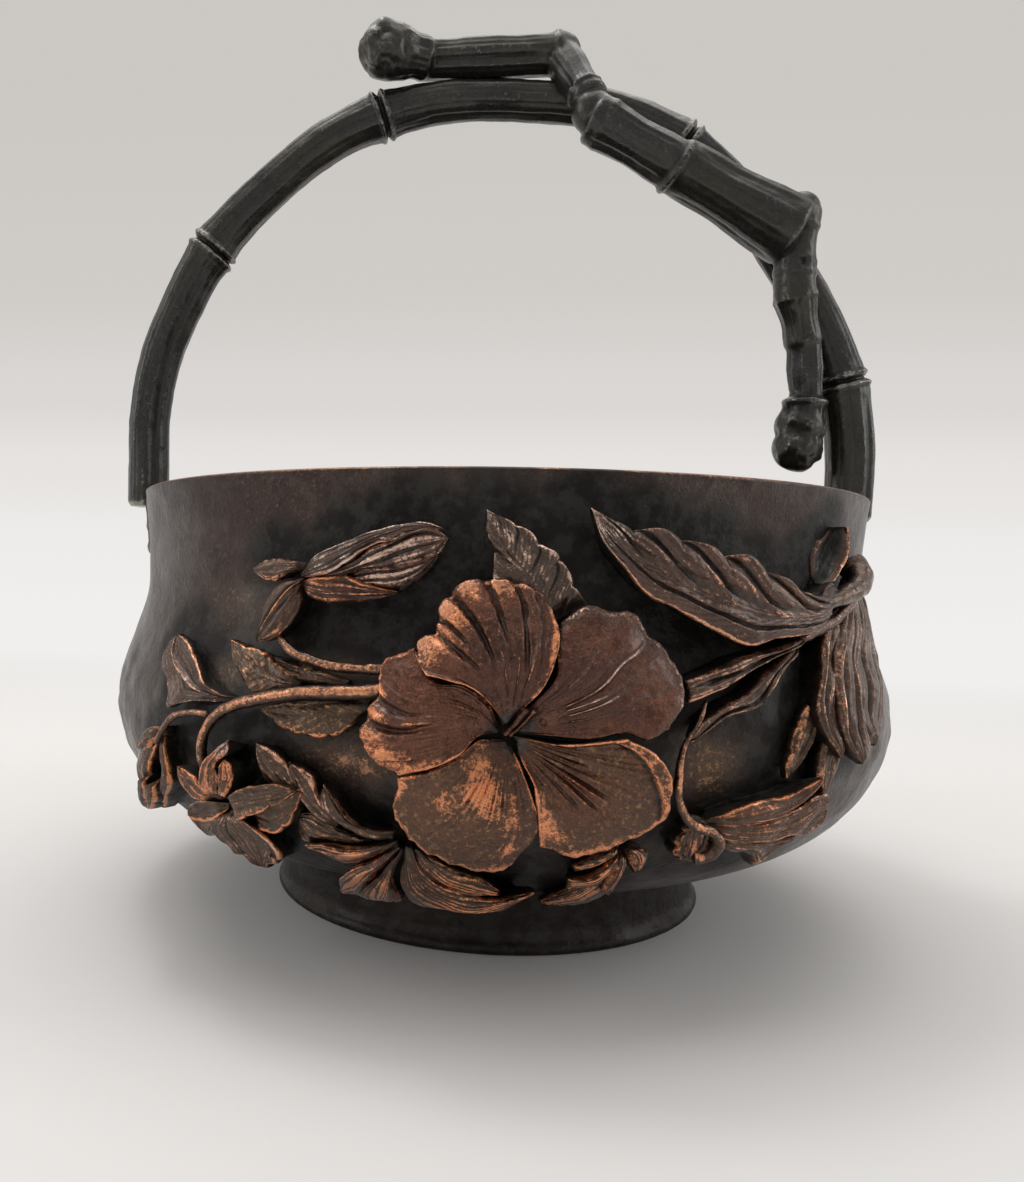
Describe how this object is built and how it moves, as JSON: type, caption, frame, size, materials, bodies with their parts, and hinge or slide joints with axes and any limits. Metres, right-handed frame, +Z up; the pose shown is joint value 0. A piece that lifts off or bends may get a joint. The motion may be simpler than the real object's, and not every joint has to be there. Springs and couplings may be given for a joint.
{
  "type": "flower basket",
  "caption": "Squat round bronze bowl on a foot ring with a tall arched bamboo-shaped handle and flowers, buds and leaves in high relief across the front.",
  "frame": {"origin": "bottom centre of the box round the whole basket, at the height of the foot ring's underside", "axes": "+Z up through the bowl, -Y toward the front with the relief, +X to the viewer's right along the handle's span"},
  "size_m": [0.2324, 0.2334, 0.2642],
  "materials": {
    "bowl_bronze": "dark brown patinated cast bronze, satin",
    "handle_bronze": "near-black patinated cast bronze, satin",
    "flower_bronze": "red-brown patinated bronze with worn copper edges",
    "leaf_bronze": "brown patinated bronze with worn ridges"
  },
  "bodies": {
    "root": {"bowl": "bowl_bronze", "branch_left": "leaf_bronze", "bud_left_calyx_lower": "leaf_bronze", "bud_left_calyx_upper": "leaf_bronze", "bud_left_petal_inner": "flower_bronze", "bud_left_petal_lower": "flower_bronze", "bud_left_petal_outer": "flower_bronze", "bud_right_petal_end": "flower_bronze", "bud_right_petal_lower": "flower_bronze", "bud_right_petal_middle": "flower_bronze", "bud_right_petal_upper": "flower_bronze", "flower_petal_left": "flower_bronze", "flower_petal_lower_left": "flower_bronze", "flower_petal_lower_right": "flower_bronze", "flower_petal_top": "flower_bronze", "flower_petal_upper_right": "flower_bronze", "flower_stamen": "flower_bronze", "foot_ring": "bowl_bronze", "handle_arch": "handle_bronze", "handle_branch": "handle_bronze", "handle_rivet_left_1": "handle_bronze", "handle_rivet_left_2": "handle_bronze", "handle_rivet_right_1": "handle_bronze", "handle_rivet_right_2": "handle_bronze", "leaf_drop": "leaf_bronze", "leaf_fan_left": "leaf_bronze", "leaf_fan_right": "leaf_bronze", "leaf_hang_inner": "leaf_bronze", "leaf_hang_low": "leaf_bronze", "leaf_hang_middle": "leaf_bronze", "leaf_hang_outer": "leaf_bronze", "leaf_hang_small": "leaf_bronze", "leaf_left_back": "leaf_bronze", "leaf_left_middle": "leaf_bronze", "leaf_left_upper": "leaf_bronze", "leaf_lobed_left": "leaf_bronze", "leaf_right_edge": "leaf_bronze", "leaf_right_large": "leaf_bronze", "leaf_stem_lower": "leaf_bronze", "leaf_stem_upper": "leaf_bronze", "leaf_top": "leaf_bronze", "leaf_under_branch": "leaf_bronze", "small_petal_bottom": "flower_bronze", "small_petal_bottom_left": "flower_bronze", "small_petal_left": "flower_bronze", "small_petal_left_upper": "flower_bronze", "small_petal_right": "flower_bronze", "small_petal_right_back": "flower_bronze", "small_petal_up_left": "flower_bronze", "small_petal_up_right": "flower_bronze", "stem_bud_left": "leaf_bronze", "stem_bud_right": "leaf_bronze", "stem_drop": "leaf_bronze", "stem_right": "leaf_bronze"}
  },
  "joints": []
}
